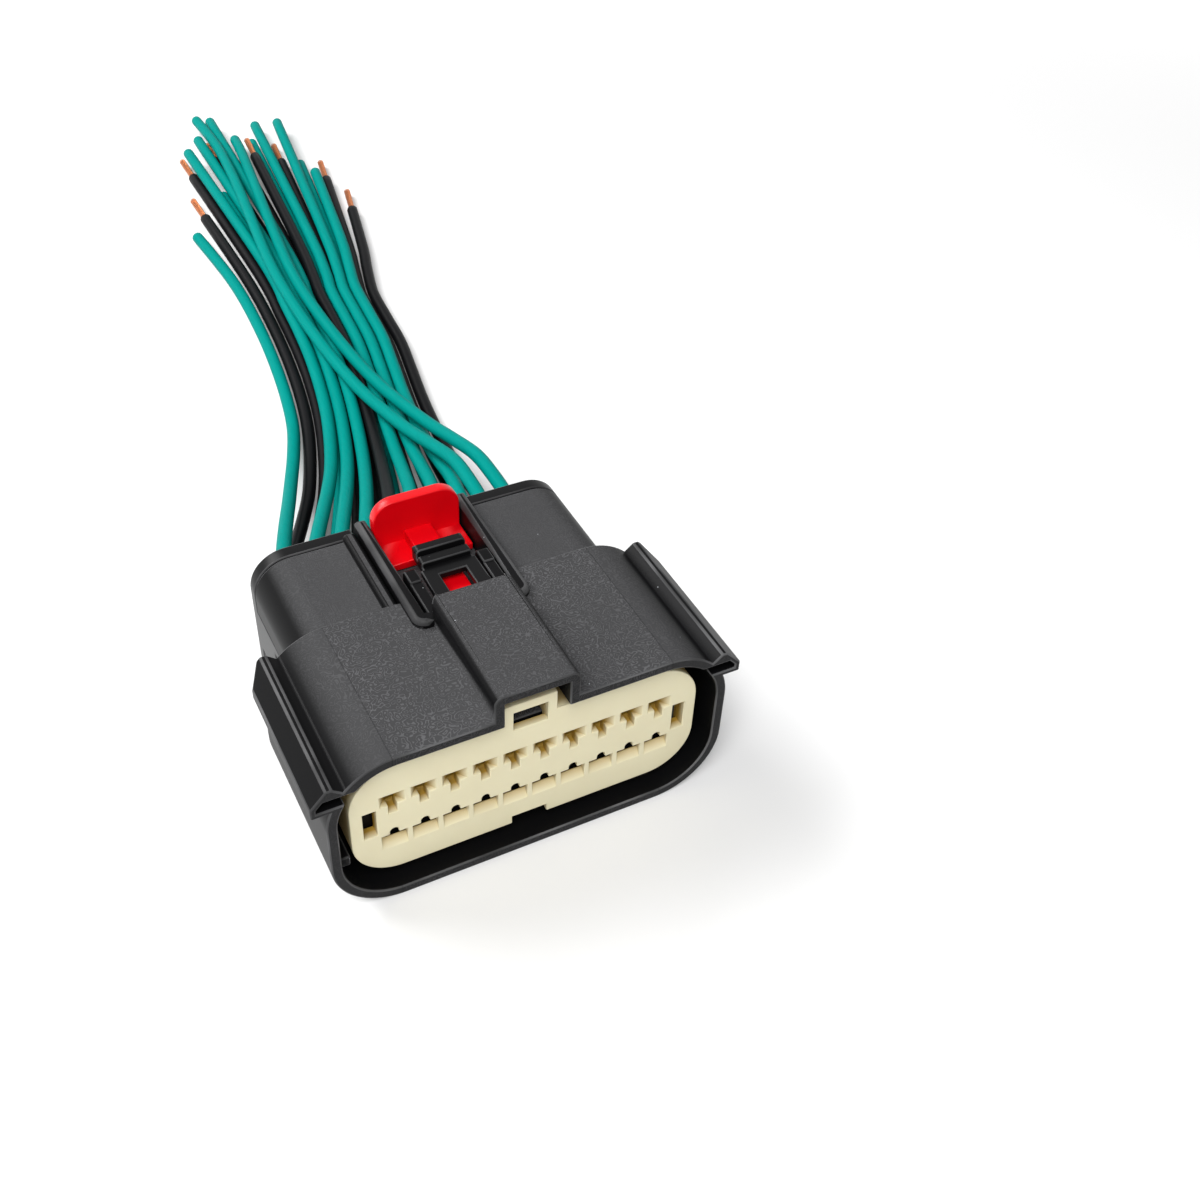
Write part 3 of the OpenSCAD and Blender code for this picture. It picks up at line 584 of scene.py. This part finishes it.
@dataclass
class Housing(MouldedPart):
    """The one-piece shell: skirt, core, rear section, bridge and latch bay."""

    core_half_mm: Pair = (18.6, 6.3)
    mid_mm: float = 11.05
    core_front_mm: float = -14.8
    # How far a face must look up for the eroded texture and its painted top sheen.
    grain_and_sheen_slope: Pair = (0.78, 0.98)
    grain_above_mm: float = 15.0
    grain_within_mm: float = 20.6
    broad_mm2: float = 60.0
    smooth_x_mm: Pair = (-8.8, 7.1)
    smooth_arm_mm: Pair = (5.0, -3.0)
    rim_mm: float = -17.6
    # Share that the rim's front face gets: eroded texture with painted sheen.
    rim_grain_and_sheen: float = 0.35
    # Strengths of the painted edge highlight in the bay and on the bridge's top edges.
    bay_highlight: float = 0.45
    bridge_highlight: float = 0.1
    bay_x_mm: Pair = (5.4, 7.0)
    bay_top_mm: float = 23.1
    bridge_rear_mm: float = -0.9
    near_mm: float = 0.03
    web_mm: Pair = (16.0, 19.1)

    def rounds(self, edge: BMEdge) -> bool:
        """Leaves the cavities inside the core and the thin web behind the bay's floor sharp.

        Args:
            edge: A sharp edge of the shell.

        Returns:
            Whether it is rounded.
        """
        middle = (edge.verts[0].co + edge.verts[1].co) / (2 * MM)
        across, up = self.core_half_mm
        inside = (abs(middle.x) < across and abs(middle.z - self.mid_mm) < up
                  and middle.y > self.core_front_mm)
        behind, level = self.web_mm
        web = middle.y > behind and abs(middle.z - level) < self.near_mm
        return not (inside or web)

    def widely(self, edge: BMEdge) -> bool:
        """Picks the crest of the bay's walls and the bridge's rear rim.

        Args:
            edge: A sharp edge of the shell.

        Returns:
            Whether it gets the wide radius.
        """
        ends = [v.co / MM for v in edge.verts]
        low, high = self.bay_x_mm
        crest = all(abs(p.z - self.bay_top_mm) < self.near_mm and low < abs(p.x) < high
                    for p in ends)
        rim = all(abs(p.y - self.bridge_rear_mm) < self.near_mm
                  and p.z > self.bay_top_mm + self.near_mm for p in ends)
        return crest or rim

    def smooth(self, place: Vector) -> bool:
        """Says whether a place belongs to the latch bay, which is polished.

        Args:
            place: A place on the shell, in millimetres.

        Returns:
            Whether it lies in the bay or on the arms beside the bridge.
        """
        left, right = self.smooth_x_mm
        arm, front = self.smooth_arm_mm
        within = left < place.x < right and place.y > self.bridge_rear_mm + self.near_mm
        return within or (arm < abs(place.x) < right and place.y > front)

    def mark(self, mesh: Mesh) -> None:
        """Marks how far the corners of upper faces look up, which sets the eroded texture and the
        painted top sheen on tops and rim.

        A broad face is always covered, because its centre can fall in the bay. The bay's small
        edges and the bridge's rear rim get a fainter painted highlight than the rest.

        Args:
            mesh: The rounded shell.
        """
        grain_and_sheen = mesh.attributes.new("grain_and_sheen", "FLOAT", "CORNER")
        edge_highlight = mesh.attributes["edge_highlight"].data
        low, high = self.grain_and_sheen_slope
        for face in mesh.polygons:
            middle = face.center / MM
            covered = middle.z > self.grain_above_mm and abs(middle.x) < self.grain_within_mm
            broad = face.area > self.broad_mm2 * MM * MM
            covered = covered and (broad or not self.smooth(middle))
            rim = middle.y < self.rim_mm and face.normal.y < -high
            # Painted edge highlight, turned down in the bay and on the bridge's wide rounds.
            highlight_level = edge_highlight[face.index].value
            narrow = highlight_level > (1 + self.wide_highlight) / 2
            if narrow and self.smooth(middle):
                edge_highlight[face.index].value = self.bay_highlight
            elif highlight_level > 0 and not narrow and middle.z > self.bay_top_mm + self.wide_mm:
                edge_highlight[face.index].value = self.bridge_highlight
            # Painted top sheen and eroded texture, growing as a corner's normal looks up.
            for corner in face.loop_indices:
                upward = mesh.corner_normals[corner].vector.z
                share = (upward - low) / (high - low) if covered else 0.0
                grain_and_sheen.data[corner].value = max(self.rim_grain_and_sheen if rim else 0.0, min(1.0, share))


@dataclass
class Retainer(MouldedPart):
    """The cream cap over the core's nose, with a funnel or ramp for each contact."""

    mid_mm: float = 11.05
    openings_mm: Pair = (19.4, 7.0)
    # Share of the painted amber shade on faces outside the openings, the sides among them.
    side_shade_share: float = 0.7

    def mark(self, mesh: Mesh) -> None:
        """Marks the walls of the openings for the full painted amber shade, and the other faces,
        the sides among them, for less of it.

        Args:
            mesh: The rounded cap.
        """
        pocket = mesh.attributes.new("pocket", "FLOAT", "FACE")
        across, up = self.openings_mm
        for face in mesh.polygons:
            middle = face.center / MM
            within = abs(middle.x) < across and abs(middle.z - self.mid_mm) < up
            pocket.data[face.index].value = 1.0 if within else self.side_shade_share


@dataclass
class TwistedStrands:
    """The bare end of a stripped wire: a strand with two rings of strands laid round it.

    One Geometry Nodes group makes the strands of every end.
    """

    strand_mm: float = 0.21
    inner: int = 6
    outer: int = 12
    length_mm: float = 7.0
    turns: float = 0.3
    flare: float = 1.15
    strand_sides: int = 6
    strand_points: int = 12
    _group: NodeTree | None = None

    def ring(self, tree: NodeTree, count: NodeSocket, radius: NodeSocket,
             shared: dict[str, NodeSocket]) -> NodeSocket:
        """Adds one ring of strands to the node group.

        Args:
            tree: The node group.
            count: How many strands the ring has.
            radius: The ring's radius.
            shared: The group's own inputs and the strand's profile.

        Returns:
            The ring's geometry.
        """
        wide = add_node(tree, "ShaderNodeMath", TIMES, i0=radius, i1=shared["Flare"])
        helix = add_node(tree, "GeometryNodeCurveSpiral", Resolution=self.strand_points,
                         Rotations=shared["Turns"], Start_Radius=radius,
                         End_Radius=wide.outputs[0], Height=shared["Length"])
        strand = add_node(tree, "GeometryNodeCurveToMesh", Curve=helix.outputs[0],
                          Profile_Curve=shared["Profile"], Fill_Caps=True)
        spots = add_node(tree, "GeometryNodeMeshLine", Count=count, Offset=(0.0, 0.0, 0.0))
        step = add_node(tree, "ShaderNodeMath", {"operation": "DIVIDE"}, i0=math.tau, i1=count)
        index = add_node(tree, "GeometryNodeInputIndex")
        turn = add_node(tree, "ShaderNodeMath", TIMES, i0=index.outputs[0], i1=step.outputs[0])
        spin = add_node(tree, "ShaderNodeCombineXYZ", Z=turn.outputs[0])
        placed = add_node(tree, "GeometryNodeInstanceOnPoints", Points=spots.outputs[0],
                          Instance=strand.outputs[0], Rotation=spin.outputs[0])
        return placed.outputs[0]

    def group(self) -> NodeTree:
        """Builds the node group once.

        Returns:
            The group, whose inputs are the strand's sizes, the lay and the material.
        """
        if self._group:
            return self._group
        tree = bpy.data.node_groups.new("twisted_strands", "GeometryNodeTree")
        tree.is_modifier = True
        kinds = {"Strand Diameter": "Float", "Inner Strands": "Int", "Outer Strands": "Int",
                 "Length": "Float", "Turns": "Float", "Flare": "Float", "Material": "Material"}
        for name, kind in kinds.items():
            tree.interface.new_socket(name, in_out="INPUT", socket_type="NodeSocket" + kind)
        tree.interface.new_socket("Geometry", in_out="OUTPUT", socket_type="NodeSocketGeometry")
        asked = add_node(tree, "NodeGroupInput").outputs
        across = asked["Strand Diameter"]
        half = add_node(tree, "ShaderNodeMath", TIMES, i0=across, i1=0.5)
        profile = add_node(tree, "GeometryNodeCurvePrimitiveCircle", Radius=half.outputs[0],
                           Resolution=self.strand_sides).outputs[0]
        shared = {name: asked[name] for name in ("Length", "Turns", "Flare")}
        shared["Profile"] = profile
        top = add_node(tree, "ShaderNodeCombineXYZ", Z=asked["Length"])
        axis = add_node(tree, "GeometryNodeCurvePrimitiveLine", End=top.outputs[0])
        core = add_node(tree, "GeometryNodeCurveToMesh", Curve=axis.outputs[0],
                        Profile_Curve=profile, Fill_Caps=True)
        near = self.ring(tree, asked["Inner Strands"], across, shared)
        double = add_node(tree, "ShaderNodeMath", TIMES, i0=across, i1=2.0)
        far = self.ring(tree, asked["Outer Strands"], double.outputs[0], shared)
        joined = add_node(tree, "GeometryNodeJoinGeometry")
        for part in (core.outputs[0], near, far):
            tree.links.new(part, joined.inputs[0])
        real = add_node(tree, "GeometryNodeRealizeInstances", Geometry=joined.outputs[0])
        dressing = add_node(tree, "GeometryNodeSetMaterial", Geometry=real.outputs[0],
                            Material=asked["Material"])
        add_node(tree, "NodeGroupOutput", i0=dressing.outputs[0])
        self._group = tree
        return tree

    def build(self, name: str, end: Vector, along: Vector, material: Material) -> Object:
        """Grows the strands out of one wire's cut end.

        Args:
            name: The piece's name.
            end: The cut end, in metres.
            along: The wire's direction there.
            material: The copper.

        Returns:
            The strands as a plain mesh.
        """
        tree = self.group()
        piece = place_object(name, bpy.data.meshes.new(name))
        grow = piece.modifiers.new("strands", "NODES")
        grow.node_group = tree
        values = {"Strand Diameter": self.strand_mm * MM, "Inner Strands": self.inner,
                  "Outer Strands": self.outer, "Length": self.length_mm * MM,
                  "Turns": self.turns, "Flare": self.flare, "Material": material}
        for socket in tree.interface.items_tree:
            if socket.in_out == "INPUT":
                grow[socket.identifier] = values[socket.name]
        applied(piece)
        heading = along.to_track_quat("Z", "Y").to_matrix().to_4x4()
        piece.data.transform(Matrix.Translation(end) @ heading)
        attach(piece, Body.HOUSING.value)
        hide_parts("bare_strands")
        log.info("%s: %d faces", piece.name, len(piece.data.polygons))
        return piece


@dataclass
class Wires:
    """The twenty cut wires, each on the route that its CAD solid follows, in millimetres.

    Each row of lay is y, the first wire's x, the gap between wires, and the height of the upper
    and the lower row there. Each end is x, y and height. The loose wires have a way of their own,
    as y, x and height.
    """

    pitch: float = 3.5
    ways: int = 10
    upper_z: float = 13.95
    lower_z: float = 8.15
    start_y: float = -0.4
    end_y: float = 18.0
    clear_run: float = 6.0
    sag: float = 0.3
    lean: float = 0.3
    upper_step: float = 0.5
    diameter: float = 1.9
    tip: Pair = (0.3, 0.8)
    round_steps: int = 4
    run_steps: int = 6
    # Dyed PVC drawn through a die: a deep blue-green with hardly any shine.
    green: Finish = ExtrudedPvc("extruded_green_pvc", "#008a82", 0.5, 1.5, 0.02)
    # The same PVC in black: dark, with a soft line of light along the top.
    black: Finish = ExtrudedPvc("extruded_black_pvc", "#08080a", 0.45, 1.5, 0.06, streak="#101012")
    # Drawn copper with no coat: warm and bright, and browner along its draw lines.
    copper: Finish = DrawnMetal("bare_stranded_copper", "#d98a58", 0.32, dull="#8a4a2a")
    upper_black: tuple[int, ...] = (4,)
    lower_green: tuple[int, ...] = (12, 15, 17)
    lay: tuple[tuple[float, ...], ...] = (
        (36, -9.5, 3, 9.6, 4.2), (50, -2.9, 2.4, 5.2, 1.6), (66, 2.4, 2.05, 3, 1),
        (82, 5.2, 2.05, 2.9, 1), (98, 6.6, 2.05, 2.9, 1), (112, 7, 2.4, 2.7, 1))
    ends: tuple[Triple, ...] = (
        (3.4, 128, 1), (10.2, 157, 2.6), (13.5, 162, 2.4), (18.1, 170, 2), (21.4, 151, 2.6),
        (26, 166, 1.6), (30, 164, 2.4), (30.2, 142, 1.9), (15.7, 171, 2.2), (20.2, 160, 2.2),
        (6.6, 134, 1), (9, 150, 1), (12, 141, 1), (15, 155, 1), (18.8, 146, 1),
        (23.4, 160, 1), (26.1, 150, 1), (29.2, 148, 1), (31.6, 140, 1), (32, 127, 1))
    loose: dict[int, tuple[Triple, ...]] = field(default_factory=lambda: {
        0: ((36, -10, 9.6), (50, -5.2, 4.4), (66, 0.2, 1.5), (82, 3, 1.1), (98, 4.4, 1),
            (112, 4.6, 1)),
        8: ((36, 13.6, 12.1), (50, 12.7, 7.9), (66, 11, 5.4), (82, 10, 5), (98, 10, 5),
            (112, 11, 4.8), (134, 13.6, 4.6), (155, 15.6, 3.4)),
        9: ((36, 16.8, 12.1), (50, 15.9, 8), (66, 14, 5.5), (82, 12.8, 5), (98, 12.6, 5),
            (112, 13.8, 4.9), (134, 16.6, 4.6), (151, 19, 3.6))})

    def insulation(self, i: int) -> Insulation:
        """Gives a wire's colour by its place, upper row first."""
        green = i not in self.upper_black if i < self.ways else i in self.lower_green
        return Insulation.GREEN if green else Insulation.BLACK

    def contact(self, i: int) -> Pair:
        """Gives the x and z of a wire's contact."""
        x = (i % self.ways - (self.ways - 1) / 2) * self.pitch
        return x, self.upper_z if i < self.ways else self.lower_z

    def route(self, i: int) -> list[Vector]:
        """Lists the points that a wire's CAD solid passes through.

        Args:
            i: The wire's place, upper row first.

        Returns:
            Points in millimetres, from the contact to the cut end.
        """
        x, z = self.contact(i)
        upper = i < self.ways
        if i in self.loose:
            middle = [(px, py, pz) for py, px, pz in self.loose[i]]
        else:
            step = i % self.ways + (self.upper_step if upper else 0)
            middle = [(first + gap * step, y, high if upper else low)
                      for y, first, gap, high, low in self.lay]
        leaning = x + self.lean * (middle[0][0] - x)
        head = [(x, self.start_y, z), (x, self.end_y, z),
                (leaning, self.end_y + self.clear_run, z - self.sag)]
        return [Vector(p) for p in [*head, *middle, self.ends[i]]]

    def smooth(self, points: list[Vector]) -> list[Vector]:
        """Adds a point half way along each stretch of the smooth curve through some points.

        It is weighed from the two points on each side, but the first stretch is straight.

        Args:
            points: The route.

        Returns:
            About twice as many points, on the same curve.
        """
        last = len(points) - 1
        result = [points[0]]
        for k in range(last):
            a, b, c, d = (points[max(0, min(last, k + n))] for n in (-1, 0, 1, 2))
            half = (b + c) / 2 if k == 0 else (9 * (b + c) - a - d) / 16
            result += [half, c]
        return result

    def curve(self, i: int, points: list[Vector]) -> Object:
        """Draws one wire as a tube along its route, with the edge of its cut end taken off.

        Args:
            i: The wire's place, upper row first.
            points: The route in metres.

        Returns:
            The curve object.
        """
        back, share = self.tip
        along = (points[-1] - points[-2]).normalized()
        points = [*points[:-1], points[-1] - along * back * MM, points[-1]]
        last = len(points) - 1
        data = bpy.data.curves.new(f"insulation_{i + 1:02d}", "CURVE")
        data.dimensions = "3D"
        data.bevel_depth = self.diameter / 2 * MM
        data.bevel_resolution = self.round_steps
        data.resolution_u = self.run_steps
        data.use_fill_caps = True
        spline = data.splines.new("BEZIER")
        spline.bezier_points.add(last)
        for k, (knot, place) in enumerate(zip(spline.bezier_points, points)):
            before, after = points[max(0, k - 1)], points[min(last, k + 1)]
            heading = (after - before).normalized()
            knot.co = place
            knot.handle_left_type = knot.handle_right_type = "FREE"
            # A handle reaches a third of the way to the next point, which keeps the bend even.
            knot.handle_left = place - heading * (place - before).length / 3
            knot.handle_right = place + heading * (after - place).length / 3
        spline.bezier_points[last].radius = share
        return place_object(f"wire_{i + 1:02d}_insulation", data)

    def build(self) -> list[Object]:
        """Makes and dresses every wire.

        Returns:
            The wires.
        """
        skins = {Insulation.GREEN: self.green.material(), Insulation.BLACK: self.black.material()}
        bare, copper = TwistedStrands(), self.copper.material()
        made = []
        for i in range(2 * self.ways):
            kind = self.insulation(i)
            points = [p * MM for p in self.smooth(self.route(i))]
            wire = dressed(self.curve(i, points), skins[kind])
            on_it = []
            if kind is Insulation.BLACK:
                along = points[-1] - points[-2]
                on_it = [bare.build(f"wire_{i + 1:02d}_strands", points[-1], along, copper)]
            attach(wire, Body.HOUSING.value)
            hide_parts(f"wire_{i + 1:02d}")
            made.append(wire)
        return made


@dataclass
class PhotoCamera:
    """The camera at the photograph's viewing angle, fitted to the part's own sizes."""

    eye_mm: Triple = (-45.46, -108.71, 131.04)
    look: Triple = (0.36541, 0.63829, -0.67754)
    up: Triple = (0.28365, 0.61691, 0.73414)
    focal_px: float = 1450.0
    image_px: float = 1200.0
    sensor_mm: float = 36.0
    clip_m: Pair = (0.01, 10.0)

    def build(self) -> Object:
        """Makes the camera the scene's own.

        Returns:
            The camera.
        """
        data = bpy.data.cameras.new("photo_camera")
        data.sensor_width = self.sensor_mm
        data.lens = self.focal_px / self.image_px * self.sensor_mm
        data.clip_start, data.clip_end = self.clip_m
        camera = place_object("photo_camera", data)
        look = Vector(self.look).normalized()
        right = look.cross(Vector(self.up)).normalized()
        turn = Matrix((right, right.cross(look), -look)).transposed()
        camera.matrix_world = Matrix.Translation(Vector(self.eye_mm) * MM) @ turn.to_4x4()
        bpy.context.scene.camera = camera
        return camera


@dataclass(frozen=True)
class SoftLamp:
    """A soft rectangular light that faces the part."""

    name: str
    place_m: Triple
    size_m: Pair
    watts: float
    aim_m: Triple = (0.005, 0.03, 0.0)

    def build(self) -> Object:
        """Makes the lamp and turns it to the part.

        Returns:
            The lamp.
        """
        data = bpy.data.lights.new(self.name, "AREA")
        data.shape = "RECTANGLE"
        data.size, data.size_y = self.size_m
        data.energy = self.watts
        lamp = place_object(self.name, data)
        aim = Vector(self.aim_m) - Vector(self.place_m)
        turn = aim.to_track_quat("-Z", "Y").to_matrix().to_4x4()
        lamp.matrix_world = Matrix.Translation(self.place_m) @ turn
        return lamp


@dataclass
class Studio:
    """A white table top under a wide soft strip behind on the left, with a soft fill in front."""

    floor_m: float = 3.0
    floor_drop_mm: float = 0.02
    floor_colour: str = "#e0e0e0"
    floor_roughness: float = 0.9
    lift: Pair = (0.08, 1.0)
    lift_m: Pair = (0.18, 0.6)
    sky: float = 0.14
    lamps: tuple[SoftLamp, ...] = (
        SoftLamp("strip_behind", (-0.34, 0.42, 0.5), (0.56, 0.34), 5.8),
        SoftLamp("fill_in_front", (-0.2, -0.36, 0.6), (0.4, 0.4), 5.5))

    def seen(self, tree: NodeTree) -> NodeSocket:
        """Tells what the camera sees, straight, through glass or in a reflection.

        Args:
            tree: The floor's or the world's node tree.

        Returns:
            1 where it is seen and 0 where it only gives light.
        """
        path = add_node(tree, "ShaderNodeLightPath").outputs
        either = add_node(tree, "ShaderNodeMath", LARGER, i0=path["Is Camera Ray"],
                          i1=path["Is Transmission Ray"])
        return add_node(tree, "ShaderNodeMath", LARGER, i0=either.outputs[0],
                        i1=path["Is Glossy Ray"]).outputs[0]

    def card(self) -> Material:
        """Builds the floor's white card, which is lifted to white away from the part.

        Returns:
            The card, which keeps the shadow.
        """
        material = bpy.data.materials.new("white_card")
        material.use_nodes = True
        tree = material.node_tree
        shader = tree.nodes["Principled BSDF"]
        shader.inputs["Base Color"].default_value = linear(self.floor_colour)
        shader.inputs["Roughness"].default_value = self.floor_roughness
        shader.inputs["Emission Color"].default_value = WHITE
        where = add_node(tree, "ShaderNodeTexCoord").outputs["Object"]
        away = add_node(tree, "ShaderNodeVectorMath", {"operation": "LENGTH"}, i0=where)
        lift = add_node(tree, "ShaderNodeMapRange", EASED, Value=away.outputs["Value"],
                        From_Min=self.lift_m[0], From_Max=self.lift_m[1],
                        To_Min=self.lift[0], To_Max=self.lift[1])
        shown = add_node(tree, "ShaderNodeMath", TIMES, i0=self.seen(tree), i1=lift.outputs[0])
        tree.links.new(shown.outputs[0], shader.inputs["Emission Strength"])
        return material

    def floor(self) -> Object:
        """Makes the floor, which the camera sees as near white.

        Returns:
            The floor.
        """
        sheet = bmesh.new()
        bmesh.ops.create_grid(sheet, x_segments=1, y_segments=1, size=self.floor_m / 2)
        mesh = bpy.data.meshes.new("table_top")
        sheet.to_mesh(mesh)
        sheet.free()
        mesh.transform(Matrix.Translation((0, 0, -self.floor_drop_mm * MM)))
        mesh.materials.append(self.card())
        floor = place_object("table_top", mesh)
        return floor

    def world(self) -> None:
        """Makes the surroundings white to the camera and in reflections, and dimmer as light."""
        world = bpy.data.worlds.new("studio")
        world.use_nodes = True
        bpy.context.scene.world = world
        tree = world.node_tree
        level = add_node(tree, "ShaderNodeMapRange", Value=self.seen(tree), To_Min=self.sky,
                         To_Max=1.0)
        background = tree.nodes["Background"]
        background.inputs["Color"].default_value = WHITE
        tree.links.new(level.outputs[0], background.inputs["Strength"])

    def build(self) -> None:
        """Sets up the floor, the lamps and the world."""
        bpy.context.scene.view_settings.view_transform = "Standard"
        self.floor()
        for lamp in self.lamps:
            lamp.build()
        self.world()


# PBT moulded in a spark-eroded tool: matt, nearly black walls with painted edge highlights, under
# greyer, ridged tops whose grey is partly a painted top sheen.
BLACK_PBT = SparkErodedPbt("spark_eroded_black_pbt", "#0b0b0c", 0.5, 1.57, 0.05)
# The same PBT from a polished insert, with no eroded texture: smooth, dark, and paler only at its
# edges, where a highlight is painted.
SMOOTH_PBT = SparkErodedPbt("smooth_black_pbt", "#0d0d0e", 0.42, 1.57, 0.08, edge_highlight="#454546")
# Undyed PBT from a polished tool: a soft satin cream, painted amber as shade deep in its pockets.
CREAM_PBT = SatinPbt("satin_cream_pbt", "#ddd6b6", 0.45, 1.55, 0.3)
# Dyed PBT from a polished tool: a strong red with a clear, soft shine.
RED_PBT = GlossPbt("gloss_red_pbt", "#de000e", 0.34, 1.55, 0.25)
# Moulded silicone that sweats a little oil: dull blue with dust on it.
SILICONE = MouldedSilicone("moulded_silicone", "#2b3858", 0.6, 1.41)
# Bronze strip with a drawn tin coat: bright grey with fine lines.
TIN = DrawnMetal("tinned_bronze", "#d9dbdf", 0.3)


def dress_hidden(nodes: Iterable[str], material: Material) -> None:
    """Gives CAD nodes whose shape stays as it is their finish.

    Args:
        nodes: The nodes' names.
        material: Their finish.
    """
    for name in nodes:
        dressed(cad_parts[name], material)
        log.info("%s: CAD shape kept, %s", name, material.name)


def main() -> None:
    """Builds the camera and the wires first, then the moulded parts and the studio."""
    logging.basicConfig(level=logging.INFO, format="%(name)s: %(message)s")
    PhotoCamera().build()
    Wires().build()
    Housing("housing", Body.HOUSING, "black_pbt", BLACK_PBT).build()
    MouldedPart("rear_cover", Body.HOUSING, "black_pbt", SMOOTH_PBT).build()
    MouldedPart("latch_lever", Body.LATCH, "black_pbt", SMOOTH_PBT, edge_mm=0.15).build()
    Retainer("terminal_retainer", Body.RETAINER, "cream_pbt", CREAM_PBT, edge_mm=0.12).build()
    MouldedPart("lock_slider", Body.SLIDER, "red_pbt", RED_PBT, edge_mm=0.2).build()
    dress_hidden(("ring_seal", "wire_seal"), SILICONE.material())
    contacts = [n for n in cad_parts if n.startswith("terminal_") and n[-1].isdigit()]
    dress_hidden(contacts, TIN.material())
    Studio().build()


if __name__ == "__main__":
    main()
